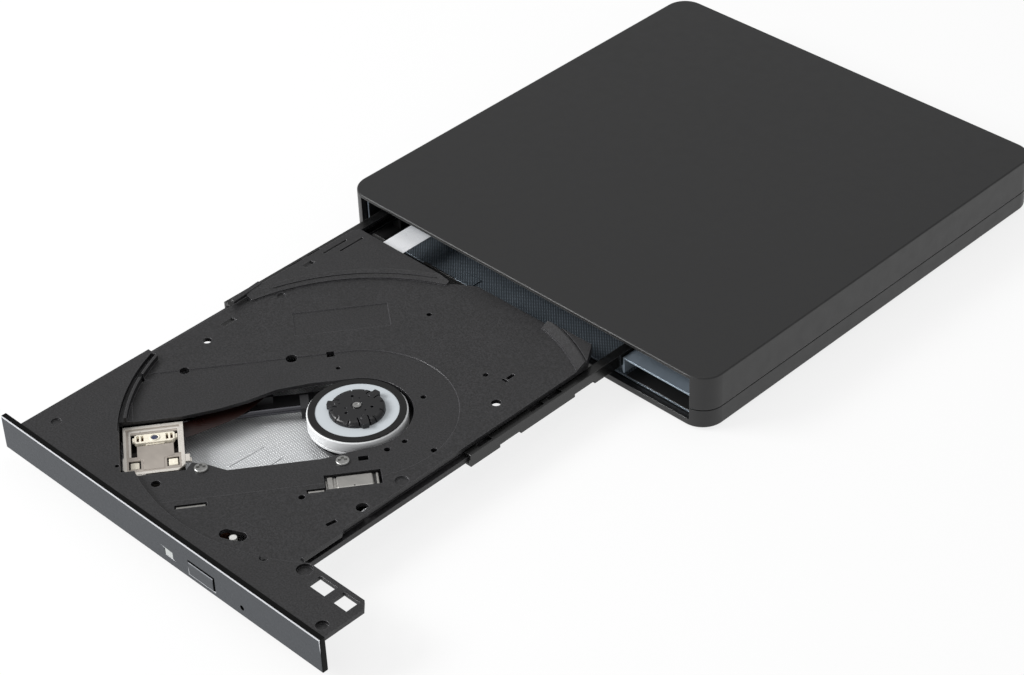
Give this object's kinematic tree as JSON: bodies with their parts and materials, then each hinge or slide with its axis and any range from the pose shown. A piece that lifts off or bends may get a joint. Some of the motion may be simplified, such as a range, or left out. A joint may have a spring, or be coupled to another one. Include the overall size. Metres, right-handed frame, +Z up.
{
  "type": "external disc drive",
  "caption": "Slim external disc drive lying flat with its tray fully out: square dark case, two sliding rails, disc recess with spindle, clamping hub and slanted pickup sled.",
  "frame": {"origin": "centre of the case's flat underside", "axes": "+Z up from the underside, +Y towards the back of the case, +X to the right seen from the front; the tray comes out towards -Y"},
  "size_m": [0.1414, 0.2847, 0.018],
  "materials": {
    "case_plastic": "fine matt",
    "bezel_plastic": "satin",
    "tray_plastic": "fine grain",
    "foot_rubber": "matt",
    "screw_steel": "turned",
    "pan_steel": "brushed",
    "board": "solder mask",
    "chip_plastic": "moulded",
    "connector_steel": "plated",
    "connector_plastic": "moulded",
    "foam": "open cell",
    "guide_plastic": "moulded",
    "ribbon": "film",
    "rail_steel": "black gloss",
    "button_plastic": "satin",
    "clear_plastic": "frosted",
    "shield_steel": "dotted",
    "frame_steel": "matt",
    "rod_steel": "ground",
    "copper_core": "wound",
    "rotor_paint": "smooth",
    "turntable_plate": "satin",
    "hub_plastic": "moulded",
    "motor_nickel": "plated",
    "pickup_alloy": "cast",
    "pickup_nickel": "champagne",
    "lens_plastic": "moulded",
    "lens_glass": "polished",
    "flex": "film",
    "latch_plastic": "moulded"
  },
  "bodies": {
    "case": {"top_cover": "case_plastic", "bottom_cover": "case_plastic", "rubber_feet": "foot_rubber", "case_screws": "screw_steel", "bridge_board": "board", "bridge_chips": "chip_plastic", "usb_socket": "connector_steel", "bridge_plug": "connector_plastic", "drive_socket": "connector_plastic", "drive_pan": "pan_steel", "drive_lid": "pan_steel", "foam_strips": "foam", "guide_left": "guide_plastic", "guide_right": "guide_plastic", "drive_board": "board", "ribbon_board": "board", "ribbon_socket": "connector_plastic", "ribbon_cable": "ribbon", "latch_keeper": "pan_steel"},
    "tray": {"tray_frame": "tray_plastic", "bezel": "bezel_plastic", "light_guide": "clear_plastic", "tray_board": "board", "eject_switch": "chip_plastic", "indicator": "clear_plastic", "shield": "shield_steel", "traverse_frame": "frame_steel", "dampers": "foot_rubber", "guide_rods": "rod_steel", "tray_screws": "screw_steel", "spindle_stator": "copper_core", "sled_motor": "motor_nickel", "motor_bracket": "motor_nickel", "pickup_flex": "flex", "latch_pivot": "screw_steel", "solenoid": "copper_core", "tray_socket": "connector_plastic"},
    "rail_left": {"rail_left": "rail_steel"},
    "rail_right": {"rail_right": "rail_steel"},
    "eject_button": {"eject_button": "button_plastic"},
    "rotor": {"rotor_cup": "rotor_paint", "turntable": "turntable_plate", "turntable_ring": "foot_rubber", "clamp_hub": "hub_plastic", "hub_screw": "screw_steel"},
    "pickup": {"pickup_base": "pickup_alloy", "pickup_cover": "pickup_nickel"},
    "lens": {"lens_holder": "lens_plastic", "lens": "lens_glass"},
    "lead_screw": {"lead_screw": "rod_steel"},
    "latch": {"latch_arm": "latch_plastic"}
  },
  "joints": [
    {"name": "tray_slide", "type": "slide", "parent": "case", "child": "tray", "axis": [0, 1, 0], "range_m": [0, 0.133], "deforming": ["ribbon_cable"]},
    {"name": "rail_left_slide", "type": "slide", "parent": "case", "child": "rail_left", "axis": [0, 1, 0], "range_m": [0, 0.0665]},
    {"name": "rail_right_slide", "type": "slide", "parent": "case", "child": "rail_right", "axis": [0, 1, 0], "range_m": [0, 0.0665]},
    {"name": "eject_button_press", "type": "slide", "parent": "tray", "child": "eject_button", "axis": [0, 1, 0], "range_m": [0, 0.0006], "stiffness_N_per_m": 200},
    {"name": "spindle_spin", "type": "hinge", "parent": "tray", "child": "rotor", "pos_m": [0.0045, -0.1415, 0.01], "axis": [0, 0, 1], "continuous": true},
    {"name": "sled_slide", "type": "slide", "parent": "tray", "child": "pickup", "axis": [0.6046, 0.7965, 0], "range_m": [0, 0.031], "deforming": ["pickup_flex"]},
    {"name": "lens_focus", "type": "slide", "parent": "pickup", "child": "lens", "axis": [0, 0, 1], "range_m": [-0.0004, 0.0004], "stiffness_N_per_m": 150},
    {"name": "lead_screw_spin", "type": "hinge", "parent": "tray", "child": "lead_screw", "pos_m": [0.00682, -0.18343, 0.0072], "axis": [-0.6046, -0.7965, 0], "continuous": true},
    {"name": "latch_turn", "type": "hinge", "parent": "tray", "child": "latch", "pos_m": [0.025, -0.1959, 0.005], "axis": [0, 0, 1], "range_deg": [0, 4.6], "stiffness_Nm_per_rad": 0.004}
  ],
  "couplings": [
    {"joint": "rail_left_slide", "follows": "tray_slide", "ratio": 0.5},
    {"joint": "rail_right_slide", "follows": "tray_slide", "ratio": 0.5},
    {"joint": "lead_screw_spin", "follows": "sled_slide", "rad_per_m": 2094.4}
  ]
}
